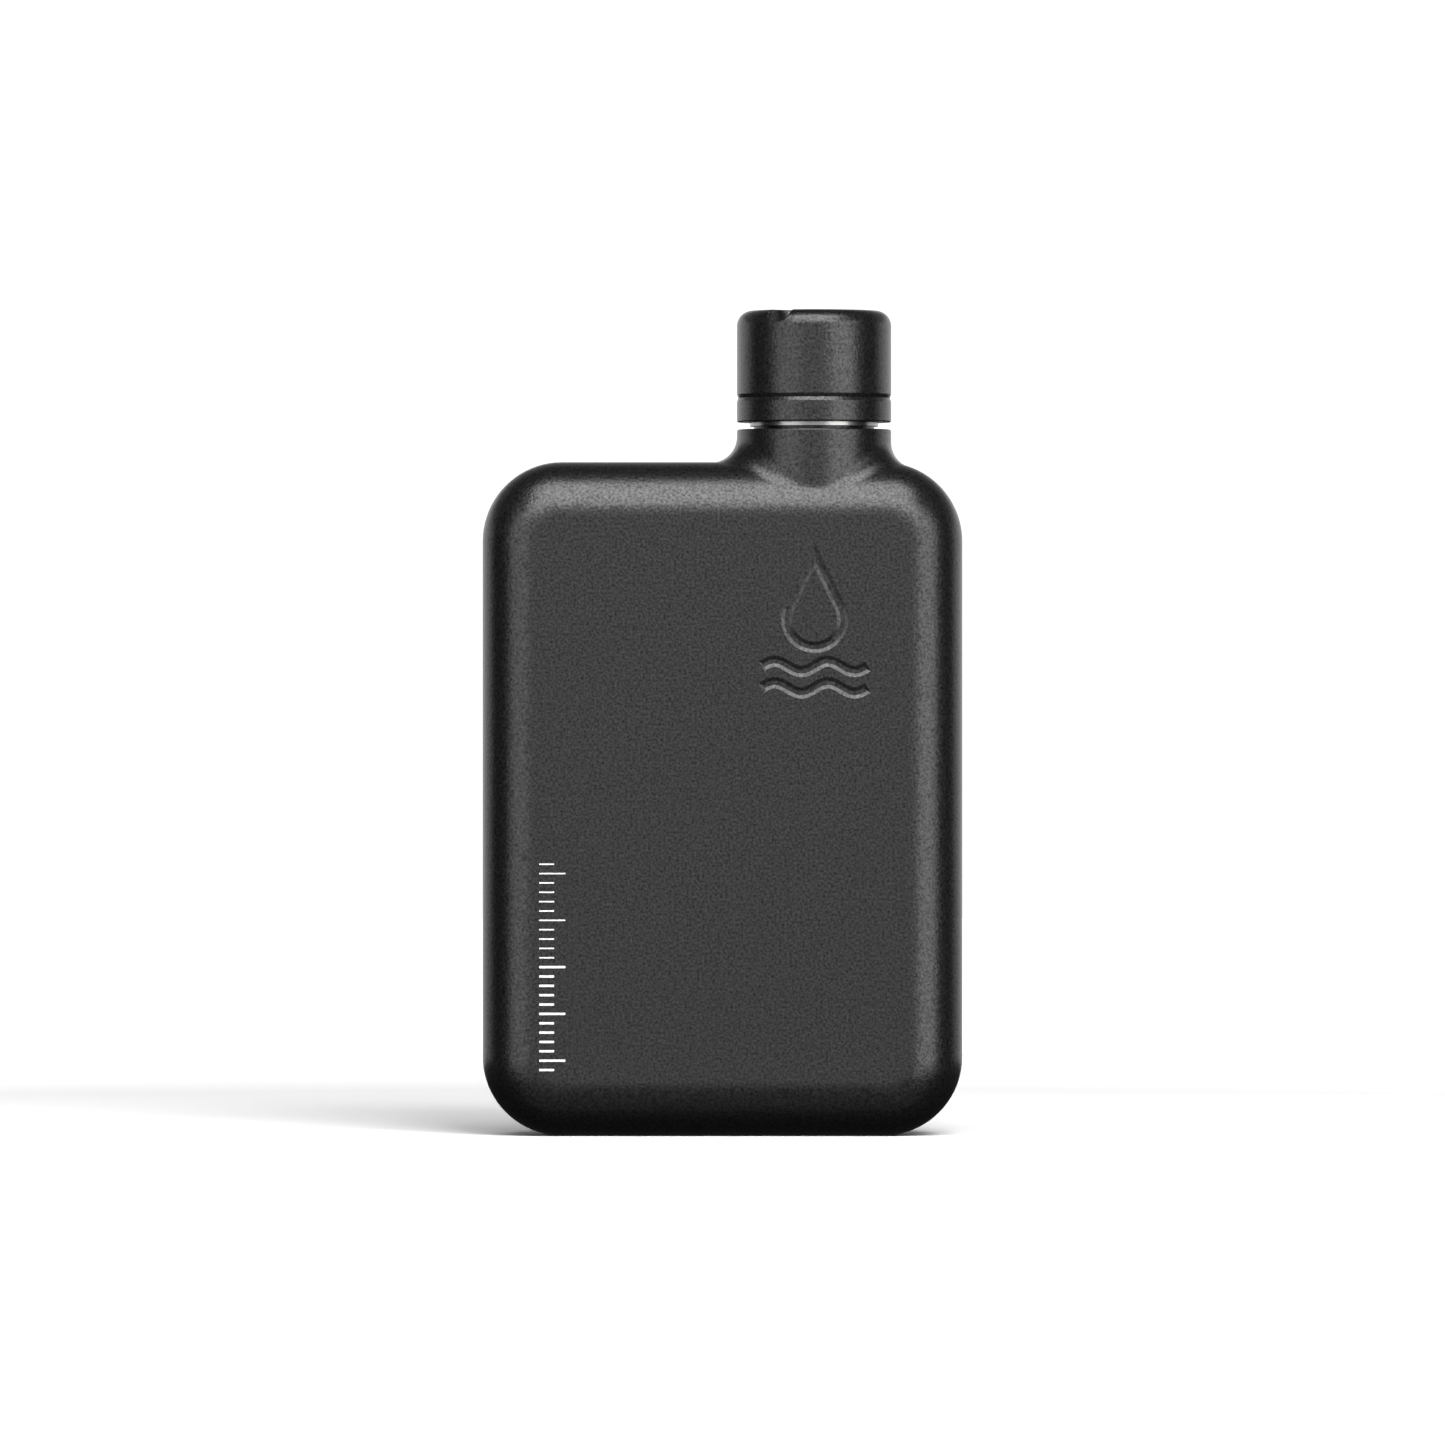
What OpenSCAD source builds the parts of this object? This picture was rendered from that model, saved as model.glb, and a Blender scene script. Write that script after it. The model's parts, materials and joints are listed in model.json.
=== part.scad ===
// Slim pocket flask: a flat body pressed in two steel halves and welded round its middle,
// a bare steel spout with a two-start thread, and a screw cap.
// Millimetres. +Z is up, -Y is the front face. The origin is the middle of the foot.

/* [Body] */
// Width of the body, left to right
body_w = 103; // [98:0.5:130]
// Height of the body from its foot to its shoulder, without the neck
body_h = 144.6; // [135:0.2:185]
// Thickness of the body, front to back
body_t = 36.4; // [36:0.2:46]
// Radius of the body's four corners, seen from the front
corner_r = 17; // [14:0.5:24]
// Radius of the rounding that runs all round the front and back faces
edge_r = 12; // [10:0.5:13]
// Thickness of the pressed sheet
wall = 0.8; // [0.6:0.1:1.2]

/* [Neck] */
// Distance of the neck's axis from the middle of the body
neck_x = 19.7; // [10:0.1:20]
// Radius of the collar, and of the cap above it
collar_r = 16.6; // [15.5:0.1:17]
// Height of the collar's flat top above the shoulder
collar_rise = 7.1; // [6.6:0.1:12]
// Radius of the hollow blend between the collar and the body
blend_r = 5.6; // [4:0.1:6]
// Chamfer on the collar's upper edge
collar_chamfer = 0.35; // [0.2:0.05:0.6]
// Height of the shadow gap between the collar's ledge and the bare ring of the spout
ring_gap = 0.65; // [0.3:0.05:0.9]

/* [Spout] */
// Radius of the mouth's bore
bore_r = 11.2; // [9:0.1:11.4]
// Wall of the spout at the root of its thread
spout_wall = 1.5; // [1:0.1:1.8]
// Radial height of both threads
thread_h = 1; // [0.7:0.05:1]
// Axial rise of either thread in one full turn
thread_lead = 8; // [6:0.5:9]
// Turns that each spout thread makes
spout_turns = 0.8; // [0.5:0.05:0.9]
// Height of the spout's lip over the collar
spout_h = 18.5; // [15.4:0.1:23]
// Turns that each cap thread makes
cap_turns = 0.6; // [0.4:0.05:0.7]

/* [Cap] */
// Gap between the collar and the closed cap
cap_gap = 1.55; // [1:0.05:3]
// Height of the closed cap, bottom to top. A spout too tall for it raises the cap's top
cap_h = 24; // [23.4:0.2:30]
// Least thickness of the cap's metal top, above the liner
cap_top_t = 2.8; // [2.8:0.05:4]
// Height of the lower band, up to the groove
band_h = 5.25; // [5:0.25:8]
// Wall of the cap's metal skirt and band
cap_wall = 1; // [0.8:0.1:1.2]
// Radius of the cap's top edge
cap_edge_r = 3.3; // [2:0.1:3.8]
// Height of each flank of the groove
groove_h = 0.8; // [0.5:0.1:1.2]
// Depth of the groove
groove_d = 0.3; // [0.2:0.05:0.5]
// Radius of the half-round thumb notch in the cap's rim
notch_r = 2.4; // [1.5:0.1:2.4]
// Length of the notch, in from the cap's side
notch_length = 6; // [4.5:0.5:8]
// Direction of the notch, in degrees to the left of the front
notch_angle = 30; // [0:5:180]
// Thickness of the liner's end wall
liner_top = 1.6; // [1.2:0.1:2]
// Thickness of the silicone seal
seal_t = 2; // [1.6:0.1:2.2]

/* [Marks] */
// Width of the emblem's pressed stroke
stroke = 2; // [1.4:0.1:2.4]
// Depth of the emblem
emblem_depth = 0.4; // [0.2:0.05:0.45]
// Number of printed ticks
tick_count = 23; // [11:1:26]

/* [Hidden] */
$fn = 96;

paint = [0.16, 0.16, 0.165];
steel = [0.78, 0.78, 0.79];

// Clearances between pieces
weld_fit = 0.05;    // spout in the collar's opening
crest_play = 0.1;   // crest of the spout's thread inside the line of the bare ring
skirt_gap = 0.5;    // band's lip round the spout
thread_play = 0.25; // between the crest of one thread and the root of the other
seal_play = 0.05;   // above and below the seal
seal_fit = 0.25;    // round the seal
seam_gap = 0.01;    // between the cap's shell and its band
bond_gap = 0.05;    // glue between the liner and the cap's metal

// Levels, up from the foot
liner_lift = 0.75; // liner's foot over the band's foot
ring_lift = 3;     // top of the bare ring over the band's foot
ring_step = 0.85;  // bare ring over the tube below it
collar_z = body_h + collar_rise;
cap_z = collar_z + cap_gap;
groove_z = cap_z + band_h;
lip_z = collar_z + spout_h;
seal_z = lip_z + seal_play;
ceiling_z = seal_z + seal_t + seal_play;
liner_top_z = ceiling_z + liner_top;
cap_top_z = max(cap_z + cap_h, liner_top_z + cap_top_t);
liner_foot_z = cap_z + liner_lift;

// Radii round the neck's axis
spout_root_r = bore_r + spout_wall;
spout_crest_r = spout_root_r + thread_h;
ring_r = spout_crest_r + crest_play;
tube_r = ring_r - ring_step;
opening_r = tube_r + weld_fit;
liner_root_r = spout_crest_r + thread_play;
liner_r = collar_r - cap_wall;

// ---------------------------------------------------------------- pressed shells

// The body is a flat core, rounded by edge_r. A skin is one face of the sheet: off is how far
// it lies inside the painted face, so 0 gives the outside and wall gives the inside.
core_v = body_t / 2 - edge_r;
corner_x = body_w / 2 - corner_r;
core_corner = corner_r - edge_r;
profile_len = core_v + edge_r * PI / 2;

neck_cols = 40;    // steps round the front half of the neck
corner_cols = 8;   // steps round one corner
profile_rows = 10; // steps from the middle seam to the flat face
blend_rows = 7;    // steps down the hollow blend
collar_rows = 3;   // ledge, ledge edge and chamfer foot
neck_rows = collar_rows + blend_rows;

// The ball that rolls between the collar and the body makes the blend: its centre at azimuth a.
function ball_v(a) = (collar_r + blend_r) * cos(a);
function ball_x(a) = neck_x + (collar_r + blend_r) * sin(a);
function ball_dv(a) = max(ball_v(a) - core_v, 0);
function ball_reach(a) =
    sqrt(pow(edge_r + blend_r, 2) - pow(ball_dv(a), 2)) + core_corner;
function ball_ox(a) = min(max(ball_x(a), -corner_x), corner_x);
function ball_z(a) =
    body_h - corner_r + sqrt(pow(ball_reach(a), 2) - pow(ball_x(a) - ball_ox(a), 2));
function ball_tilt(a) = asin((ball_x(a) - ball_ox(a)) / ball_reach(a));
function ball_centre(a) = [ball_x(a), ball_v(a), ball_z(a)];

// How far along the body's profile the blend ends: on the middle wall or on the rounding.
function blend_end(a) =
    ball_dv(a) > 0
    ? core_v + edge_r * asin(ball_dv(a) / (edge_r + blend_r)) * PI / 180
    : ball_v(a);

// A column is [corner centre x, corner centre z, outward angle from +Z, start along the profile].
function neck_column(a) = [ball_ox(a), body_h - corner_r, ball_tilt(a), blend_end(a)];
function corner_column(sx, sz, g) =
    [sx * corner_x, sz > 0 ? body_h - corner_r : corner_r, g, 0];

neck_angles = [for (i = [0:neck_cols]) -90 + 180 * i / neck_cols];
right_tilt = ball_tilt(90);
columns = [
    for (a = neck_angles) neck_column(a),
    for (i = [1:corner_cols])
        corner_column(1, 1, right_tilt + (90 - right_tilt) * i / corner_cols),
    for (i = [0:corner_cols]) corner_column(1, -1, 90 + 90 * i / corner_cols),
    for (i = [0:corner_cols]) corner_column(-1, -1, 180 + 90 * i / corner_cols),
    for (i = [0:corner_cols]) corner_column(-1, 1, 270 + 90 * i / corner_cols)
];
col_count = len(columns);

// A point of the body at distance s along the profile of column c.
function body_point(c, s, off) =
    let (
        turn = max(s - core_v, 0) / edge_r * 180 / PI,
        reach = core_corner + (edge_r - off) * cos(turn),
        v = min(s, core_v) + (edge_r - off) * sin(turn)
    )
    [c[0] + reach * sin(c[2]), v, c[1] + reach * cos(c[2])];

// The way from the ball's centre to where it touches the body.
function touch_dir(a) =
    let (
        lean = asin(ball_dv(a) / (edge_r + blend_r)),
        tilt = ball_tilt(a)
    )
    [-cos(lean) * sin(tilt), -sin(lean), -cos(lean) * cos(tilt)];

function blend_point(a, t, off) =
    let (
        from = [-sin(a), -cos(a), 0],
        to = touch_dir(a),
        span = acos(from * to),
        dir = (sin((1 - t) * span) * from + sin(t * span) * to) / sin(span)
    )
    ball_centre(a) + (blend_r + off) * dir;

function round_neck(a, r, z) = [neck_x + r * sin(a), r * cos(a), z];

function neck_points(a, off) = [
    round_neck(a, opening_r, collar_z - off),
    round_neck(a, collar_r - collar_chamfer - off, collar_z - off),
    round_neck(a, collar_r - off, collar_z - collar_chamfer - off),
    for (i = [0:blend_rows - 1]) blend_point(a, i / blend_rows, off)
];

function skin_points(off) = [
    for (c = columns, j = [0:profile_rows])
        body_point(c, c[3] + (profile_len - c[3]) * j / profile_rows, off),
    for (a = neck_angles) each neck_points(a, off),
    for (q = panel_quarters)
        [
            q[0] * (corner_x + core_corner / 2),
            body_t / 2 - off,
            body_h / 2 + q[1] * (body_h / 2 - corner_r + core_corner / 2)
        ]
];

// The flat face has a panel of four corners inside its outline, in the order of the columns,
// and each column joins the panel corner of its own quarter.
panel_quarters = [[1, 1], [1, -1], [-1, -1], [-1, 1]];
panel_start = col_count * (profile_rows + 1) + (neck_cols + 1) * neck_rows;
skin_size = panel_start + len(panel_quarters);
function quarter(k) =
    let (c = columns[k % col_count])
    c[1] > body_h / 2 ? (c[0] > 0 ? 0 : 3) : (c[0] > 0 ? 1 : 2);
function body_id(k, j) = (k % col_count) * (profile_rows + 1) + j;
function neck_id(k, i) =
    i < neck_rows
    ? col_count * (profile_rows + 1) + k * neck_rows + i
    : body_id(k, 0);

skin_faces = [
    for (k = [0:col_count - 1], j = [0:profile_rows - 1])
        [body_id(k, j), body_id(k, j + 1), body_id(k + 1, j + 1), body_id(k + 1, j)],
    for (k = [0:neck_cols - 1], i = [0:neck_rows - 1])
        [neck_id(k, i), neck_id(k, i + 1), neck_id(k + 1, i + 1), neck_id(k + 1, i)],
    for (k = [0:col_count - 1])
        [body_id(k, profile_rows), panel_start + quarter(k), body_id(k + 1, profile_rows)],
    for (k = [0:col_count - 1])
        if (quarter(k) != quarter(k + 1))
            [body_id(k + 1, profile_rows), panel_start + quarter(k), panel_start + quarter(k + 1)],
    [for (i = [3:-1:0]) panel_start + i]
];

// The open edge of a skin, as one loop: over the ledge, down the neck's right side, round the
// body's middle seam and up the neck's left side.
rim = [
    for (k = [0:neck_cols]) neck_id(k, 0),
    for (i = [1:neck_rows]) neck_id(neck_cols, i),
    for (k = [neck_cols + 1:col_count - 1]) body_id(k, 0),
    for (i = [neck_rows:-1:1]) neck_id(0, i)
];

function backwards(f) = [for (i = [len(f) - 1:-1:0]) f[i]];

// One pressed half, lying at +Y of the middle seam.
module pressed_half() {
    polyhedron(
        points = concat(skin_points(0), skin_points(wall)),
        faces = [
            each skin_faces,
            for (f = skin_faces) [for (i = backwards(f)) i + skin_size],
            for (i = [0:len(rim) - 1])
                let (a = rim[i], b = rim[(i + 1) % len(rim)])
                [a, b, b + skin_size, a + skin_size]
        ],
        convexity = 6
    );
}

module front_shell() {
    color(paint)
    difference() {
        mirror([0, 1, 0]) pressed_half();
        translate([emblem_x, emblem_depth - body_t / 2, emblem_z])
            rotate([90, 0, 0])
                linear_extrude(2 * emblem_depth) emblem();
    }
}

module back_shell() {
    color(paint) pressed_half();
}

// ---------------------------------------------------------------- emblem: a drop over two waves

emblem_w = 22.8;
emblem_x = neck_x;
emblem_below = 33.8; // middle of the drop's round end, below the shoulder
emblem_z = body_h - emblem_below;
drop_r = 7.2;
drop_tip = 16.4;
drop_steps = 28;
wave_rows = 2;
wave_gap = 0.6;
wave_step = 4.6;
wave_h = 1.1;
wave_cycles = 2;
wave_steps = 32;

// The outline of a circle drawn out to a point tip above its centre.
function drop_outline(r, tip) =
    let (touch = acos(r / tip))
    [
        [0, tip],
        for (i = [0:drop_steps])
            let (a = touch + (360 - 2 * touch) * i / drop_steps)
            [-r * sin(a), r * cos(a)]
    ];

// One long edge of a wave's stroke, side strokes to the normal of its middle line.
function wave_edge(side) = [
    for (i = [0:wave_steps])
        let (
            turn = 360 * wave_cycles * i / wave_steps,
            slope = wave_h * 2 * PI * wave_cycles / emblem_w * cos(turn),
            reach = side * stroke / 2 / sqrt(1 + slope * slope)
        )
        [emblem_w * (i / wave_steps - 0.5) - slope * reach, wave_h * sin(turn) + reach]
];

module emblem() {
    difference() {
        polygon(drop_outline(drop_r, drop_tip));
        polygon(drop_outline(drop_r - stroke, drop_tip * (drop_r - stroke) / drop_r));
    }
    for (i = [1:wave_rows])
        translate([0, -drop_r - wave_gap - (i - 0.5) * wave_step])
            polygon(concat(wave_edge(1), backwards(wave_edge(-1))));
}

// ---------------------------------------------------------------- printed ticks

tick_z = 14.4;
tick_margin = 0.3; // from the flat face's left edge
tick_x = edge_r + tick_margin - body_w / 2;
tick_step = 2;
tick_t = 0.04;
short_tick = 3.2;
long_tick = 5.6;
ticks_per_long = 5;
thin_tick = 0.3;
bold_tick = 0.5;

module printed_ticks() {
    color(steel)
    for (i = [0:tick_count - 1]) {
        length = i % ticks_per_long == 1 ? long_tick : short_tick;
        width = i < tick_count / 2 ? bold_tick : thin_tick;
        translate([tick_x, -body_t / 2 - tick_t, tick_z + i * tick_step - width / 2])
            cube([length, tick_t, width]);
    }
}

// ---------------------------------------------------------------- threads

thread_root_w = 2;
thread_crest_w = 0.9;
thread_sink = 0.25; // how far a rib is rooted in its wall
thread_step = 12;   // degrees between two sections of a rib
fade_steps = 3;     // sections over which a rib grows at either end
fade_start = 0.4;   // share of a step that a rib has grown at its very end

thread_below_lip = 2.6;
cap_thread_lag = 45; // degrees by which a cap thread starts before a spout thread
spout_thread_z = lip_z - thread_below_lip - thread_lead * spout_turns;

// One rib of a right-hand thread. inward is true where the crest lies inside the root.
module thread_rib(root_r, inward, turns, z, start) {
    steps = ceil(turns * 360 / thread_step);
    side = inward ? -1 : 1;
    function grow(i) =
        thread_h * min(1, (i + fade_start) / fade_steps, (steps - i + fade_start) / fade_steps);
    function section(i) =
        let (
            a = start + turns * 360 * i / steps,
            mid = z + thread_lead * turns * i / steps,
            root = root_r - side * thread_sink,
            crest = root_r + side * grow(i),
            up = thread_root_w / 2,
            top = thread_crest_w / 2,
            radii = [root, crest, crest, root],
            heights = [-up, -top, top, up]
        )
        [for (q = [0:3]) [radii[q] * cos(a), radii[q] * sin(a), mid + heights[q]]];
    last = 4 * steps;
    sides = [
        for (i = [0:steps - 1], q = [0:3])
            let (n = (q + 1) % 4)
            [4 * i + q, 4 * i + n, 4 * i + 4 + n, 4 * i + 4 + q]
    ];
    ends = [[3, 2, 1, 0], [last, last + 1, last + 2, last + 3]];
    faces = concat(sides, ends);
    translate([neck_x, 0, 0])
        polyhedron(
            points = [for (i = [0:steps]) each section(i)],
            faces = inward ? [for (f = faces) backwards(f)] : faces,
            convexity = 4
        );
}

module both_starts() {
    for (start = [0, 180])
        translate([neck_x, 0, 0]) rotate([0, 0, start]) translate([-neck_x, 0, 0]) children();
}

module turned(profile) {
    translate([neck_x, 0, 0]) rotate_extrude() polygon(profile);
}

// ---------------------------------------------------------------- spout

flange_t = 1.2;
flange_r = collar_r - collar_chamfer - wall - weld_fit;
tube_below = 2.2; // length of the tube below its flange
spout_foot_z = collar_z - wall - flange_t - tube_below;
ring_z = collar_z + ring_gap;
ring_top_z = cap_z + ring_lift;
lip_round = 0.4;

module neck_spout() {
    ledge_z = collar_z - wall;
    color(steel)
    union() {
        turned([
            [bore_r, spout_foot_z],
            [tube_r, spout_foot_z],
            [tube_r, ledge_z - flange_t],
            [flange_r, ledge_z - flange_t],
            [flange_r, ledge_z],
            [tube_r, ledge_z],
            [tube_r, ring_z],
            [ring_r, ring_z],
            [ring_r, ring_top_z],
            [spout_root_r, ring_top_z + ring_r - spout_root_r],
            [spout_root_r, lip_z - lip_round],
            [spout_root_r - lip_round, lip_z],
            [bore_r, lip_z]
        ]);
        both_starts() thread_rib(spout_root_r, false, spout_turns, spout_thread_z, 0);
    }
}

// ---------------------------------------------------------------- cap

module cap_shell() {
    foot_z = groove_z + seam_gap;
    rim_r = collar_r - cap_edge_r;
    color(paint)
    difference() {
        union() {
            turned([
                [0, foot_z],
                [collar_r - groove_d, foot_z],
                [collar_r, foot_z + groove_h],
                [collar_r, cap_top_z - cap_edge_r],
                [rim_r, cap_top_z - cap_edge_r],
                [rim_r, cap_top_z],
                [0, cap_top_z]
            ]);
            translate([neck_x, 0, 0])
                rotate_extrude()
                    translate([rim_r, cap_top_z - cap_edge_r])
                        intersection() {
                            circle(cap_edge_r);
                            square(cap_edge_r);
                        }
        }
        translate([neck_x, 0, cap_z])
            cylinder(r = liner_r, h = liner_top_z - cap_z);
        thumb_notch();
    }
}

// A half-round channel through the rim.
module thumb_notch() {
    translate([neck_x, 0, cap_top_z])
        rotate([0, 0, -90 - notch_angle])
            translate([collar_r - notch_length, 0, 0])
                rotate([0, 90, 0])
                    cylinder(r = notch_r, h = 2 * notch_length);
}

module cap_band() {
    lip_r = ring_r + skirt_gap;
    color(paint)
    turned([
        [lip_r, cap_z],
        [collar_r, cap_z],
        [collar_r, groove_z - groove_h],
        [collar_r - groove_d, groove_z],
        [liner_r, groove_z],
        [liner_r, liner_foot_z],
        [lip_r, liner_foot_z]
    ]);
}

module cap_liner() {
    start = -cap_thread_lag;
    color([0.1, 0.1, 0.1])
    union() {
        turned([
            [0, ceiling_z],
            [liner_root_r, ceiling_z],
            [liner_root_r, liner_foot_z],
            [liner_r - bond_gap, liner_foot_z],
            [liner_r - bond_gap, liner_top_z],
            [0, liner_top_z]
        ]);
        both_starts()
            thread_rib(
                liner_root_r, true, cap_turns,
                spout_thread_z + thread_lead / 4 + thread_lead * start / 360, start
            );
    }
}

seal_lap = 0.8; // how far the seal reaches in over the bore

module mouth_seal() {
    outer_r = liner_root_r - seal_fit;
    inner_r = bore_r - seal_lap;
    color([0.85, 0.85, 0.83])
    turned([
        [inner_r, seal_z],
        [outer_r, seal_z],
        [outer_r, seal_z + seal_t],
        [inner_r, seal_z + seal_t]
    ]);
}

front_shell();
back_shell();
neck_spout();
cap_shell();
cap_band();
cap_liner();
mouth_seal();
printed_ticks();
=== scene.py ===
"""The visible pieces and the studio of a slim screw-cap hip flask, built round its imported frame."""

import json
import math

import bmesh
import bpy
from bpy.props import FloatProperty, FloatVectorProperty, IntProperty, PointerProperty
from bpy.types import Operator, Panel, PropertyGroup
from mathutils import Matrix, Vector


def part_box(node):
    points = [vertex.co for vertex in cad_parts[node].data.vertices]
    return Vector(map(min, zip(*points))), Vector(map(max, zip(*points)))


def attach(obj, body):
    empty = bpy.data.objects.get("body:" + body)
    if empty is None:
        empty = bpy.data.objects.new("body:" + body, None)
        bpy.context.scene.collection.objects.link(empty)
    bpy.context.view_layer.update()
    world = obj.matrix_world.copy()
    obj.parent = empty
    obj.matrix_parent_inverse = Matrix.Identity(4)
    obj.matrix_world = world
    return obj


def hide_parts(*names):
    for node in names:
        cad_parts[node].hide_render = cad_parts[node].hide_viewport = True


bl_info = {
    "name": "Slim hip flask",
    "version": (1, 0, 0),
    "blender": (4, 5, 0),
    "location": "3D View > Sidebar > Flask",
    "description": "Builds a slim pressed-steel hip flask with a screw cap, and a studio round it",
    "category": "Object",
}

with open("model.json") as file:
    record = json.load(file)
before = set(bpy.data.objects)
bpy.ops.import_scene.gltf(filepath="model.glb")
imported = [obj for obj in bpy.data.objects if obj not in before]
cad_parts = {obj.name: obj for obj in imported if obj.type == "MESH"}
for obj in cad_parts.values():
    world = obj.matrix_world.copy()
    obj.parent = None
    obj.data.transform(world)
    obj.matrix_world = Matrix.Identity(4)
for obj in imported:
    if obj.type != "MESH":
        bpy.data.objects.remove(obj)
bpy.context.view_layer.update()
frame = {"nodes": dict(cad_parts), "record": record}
MM = 0.001

# What the frame already fixes: every piece starts from the box of the node that it stands for.
SHELL_LOW, SHELL_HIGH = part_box("back_shell")
SPOUT_LOW, SPOUT_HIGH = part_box("neck_spout")
BAND_LOW, BAND_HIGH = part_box("cap_band")
CAP_LOW, CAP_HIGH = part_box("cap_shell")
LINER_LOW, LINER_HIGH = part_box("cap_liner")
SEAL_LOW, SEAL_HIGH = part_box("mouth_seal")
NECK_X = (BAND_LOW[0] + BAND_HIGH[0]) / 2
COLLAR_R = (BAND_HIGH[0] - BAND_LOW[0]) / 2
COLLAR_Z = SHELL_HIGH[2]
FRONT_Y = -SHELL_HIGH[1]
MOUTH = next(m for m in frame["record"]["mounts"] if m["name"] == "mouth")
BORE_R = MOUTH["dims"]["r_mm"] * MM

# Clearances between pieces
WELD_FIT = 0.05 * MM  # spout in the collar's opening
SKIRT_GAP = 0.5 * MM  # band's lip round the spout
SEAL_PLAY = 0.05 * MM  # liner over the seal


# ------------------------------------------------------------------------- sizes and colours


def length(label, text, value):
    """A length in metres that the panel shows in the scene's unit."""
    return FloatProperty(name=label, description=text, default=value, unit="LENGTH", precision=5)


def colour(label, text, value):
    """A linear colour."""
    return FloatVectorProperty(
        name=label, description=text, default=value, size=3, subtype="COLOR", min=0, max=1
    )


class FlaskBody(PropertyGroup):
    """Sizes of the pressed body."""

    shoulder: length("Shoulder", "Height of the body without its neck", COLLAR_Z - 7.1 * MM)
    corner_r: length("Corner radius", "Radius of the four corners seen from the front", 17 * MM)
    edge_r: length("Edge radius", "Rounding all round the two broad faces", 12 * MM)
    wall: length("Wall", "Thickness of the pressed sheet", 0.8 * MM)
    blend_r: length("Blend radius", "Hollow blend between the collar and the body", 5.6 * MM)
    ledge_round: length("Ledge rounding", "Rounding of the collar's upper edge", 0.35 * MM)
    neck_columns: IntProperty(name="Neck columns", description="Steps round half the neck", default=120)
    corner_columns: IntProperty(name="Corner columns", description="Steps round a corner", default=20)
    edge_rows: IntProperty(name="Edge rows", description="Steps from the seam to the face", default=36)
    blend_rows: IntProperty(name="Blend rows", description="Steps down the hollow blend", default=16)


class FlaskEmblem(PropertyGroup):
    """Sizes of the pressed emblem: a drop over two waves."""

    width: length("Width", "Width of the waves", 22.8 * MM)
    below: length("Below the shoulder", "Distance of the drop's middle from the shoulder", 33.8 * MM)
    drop_r: length("Drop radius", "Radius of the drop's round end", 7.2 * MM)
    drop_tip: length("Drop tip", "Height of the tip over the drop's middle", 16.4 * MM)
    stroke: length("Stroke", "Width of the stroke at the face", 2.4 * MM)
    slope: length("Slope", "Width of the stroke's sloped walls", 0.75 * MM)
    depth: length("Depth", "Depth of the stroke", 0.38 * MM)
    soft: length("Soft edge", "Rounding of the stroke's edges", 0.12 * MM)
    wave_h: length("Wave height", "Rise of a wave from its middle line", 1.1 * MM)
    wave_step: length("Wave step", "Distance between the two waves", 4.6 * MM)
    wave_gap: length("Wave gap", "Distance between the drop and the waves", 0.6 * MM)


class FlaskNeck(PropertyGroup):
    """Sizes of the spout and of both threads."""

    root_r: length("Root radius", "Radius of the spout at its thread's root", 12.7 * MM)
    ring_r: length("Ring radius", "Radius of the bare ring under the cap", 13.8 * MM)
    ring_gap: length("Ring gap", "Gap between the collar's ledge and the bare ring", 0.65 * MM)
    ring_step: length("Ring step", "Bare ring over the tube below it", 0.85 * MM)
    ring_lift: length("Ring lift", "Top of the bare ring over the foot of the cap", 3 * MM)
    flange_t: length("Flange thickness", "Thickness of the flange inside the collar", 1.2 * MM)
    thread_h: length("Thread height", "Radial height of the threads", 1.0 * MM)
    lead: length("Lead", "Rise of a thread in one turn", 8 * MM)
    root_w: length("Root width", "Width of a thread's rib at its root", 2.0 * MM)
    crest_w: length("Crest width", "Width of a thread's rib at its crest", 0.9 * MM)
    below_lip: length("Below the lip", "Distance of the thread's upper end from the lip", 2.6 * MM)
    play: length("Play", "Gap between a crest and the other thread's root", 0.25 * MM)
    spout_turns: FloatProperty(name="Spout turns", description="Turns of a spout thread", default=0.8)
    cap_turns: FloatProperty(name="Cap turns", description="Turns of a cap thread", default=0.6)
    cap_lag: FloatProperty(
        name="Cap lag", description="How far a cap thread starts before a spout thread",
        default=math.radians(45), subtype="ANGLE",
    )


class FlaskCap(PropertyGroup):
    """Sizes of the cap."""

    wall: length("Wall", "Thickness of the cap's metal skirt", 1.0 * MM)
    edge_r: length("Edge radius", "Rounding of the cap's top edge", 3.3 * MM)
    groove_h: length("Groove flank", "Height of each flank of the groove", 0.8 * MM)
    groove_d: length("Groove depth", "Depth of the groove", 0.3 * MM)
    notch_r: length("Notch radius", "Radius of the thumb notch", 2.6 * MM)
    notch_in: length("Notch length", "How far the notch runs in from the side", 4.7 * MM)
    notch_soft: length("Notch softness", "Width over which the notch's edge is rounded", 1.0 * MM)
    notch_slope: FloatProperty(
        name="Notch slope", description="How far the notch's round end is drawn out", default=1.5,
    )
    notch_turn: FloatProperty(
        name="Notch direction", description="Angle of the notch to the left of the front",
        default=math.radians(30), subtype="ANGLE",
    )


class FlaskColours(PropertyGroup):
    """Colours of the finishes."""

    paint: colour("Powder coat", "Matt black powder coat", (0.0025, 0.0025, 0.0027))
    steel: colour("Steel", "Bare polished stainless steel", (0.31, 0.306, 0.30))
    liner: colour("Liner", "Black moulded plastic", (0.02, 0.02, 0.02))
    silicone: colour("Silicone", "Milky silicone of the seal", (0.75, 0.75, 0.72))
    ink: colour("Silver ink", "Printed silver", (0.62, 0.62, 0.63))
    floor: colour("Floor", "Pale floor", (0.56, 0.56, 0.56))


# ------------------------------------------------------------------------- finishes


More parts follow.
